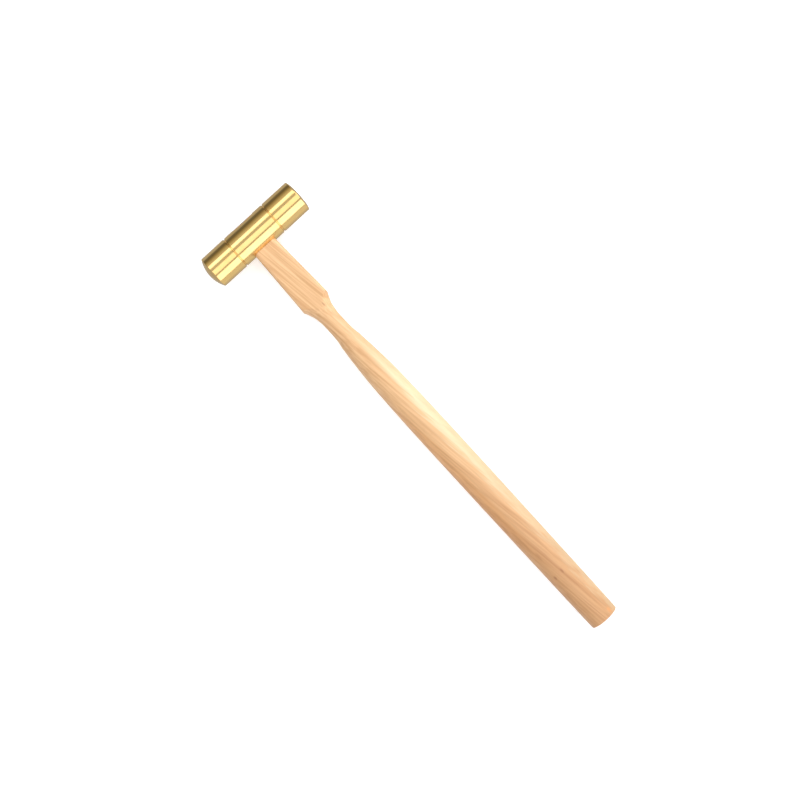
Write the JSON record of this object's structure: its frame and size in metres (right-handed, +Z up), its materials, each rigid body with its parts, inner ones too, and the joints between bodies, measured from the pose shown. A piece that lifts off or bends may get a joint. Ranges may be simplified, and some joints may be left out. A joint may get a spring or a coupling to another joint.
{
  "type": "carving mallet",
  "caption": "Small carving mallet with a cylindrical turned brass head, one face domed and one nearly flat, wedged on a slim necked hardwood handle.",
  "frame": {"origin": "on the bench, under the middle of the mallet's box, with the mallet lying on the side of its head and the edge of its butt", "axes": "+X from the head towards the butt of the handle, +Y along the head from the domed face to the striking face, +Z up from the bench"},
  "size_m": [0.2414, 0.054, 0.016],
  "materials": {
    "turned_brass": "fine turned, lightly polished",
    "handle_wood": "sanded pale hardwood, thin clear coat",
    "wedge_wood": "sawn end grain",
    "wedge_steel": "plain sheared steel"
  },
  "bodies": {
    "root": {"head": "turned_brass", "handle": "handle_wood", "wooden_wedge": "wedge_wood", "steel_wedge": "wedge_steel"}
  },
  "joints": []
}
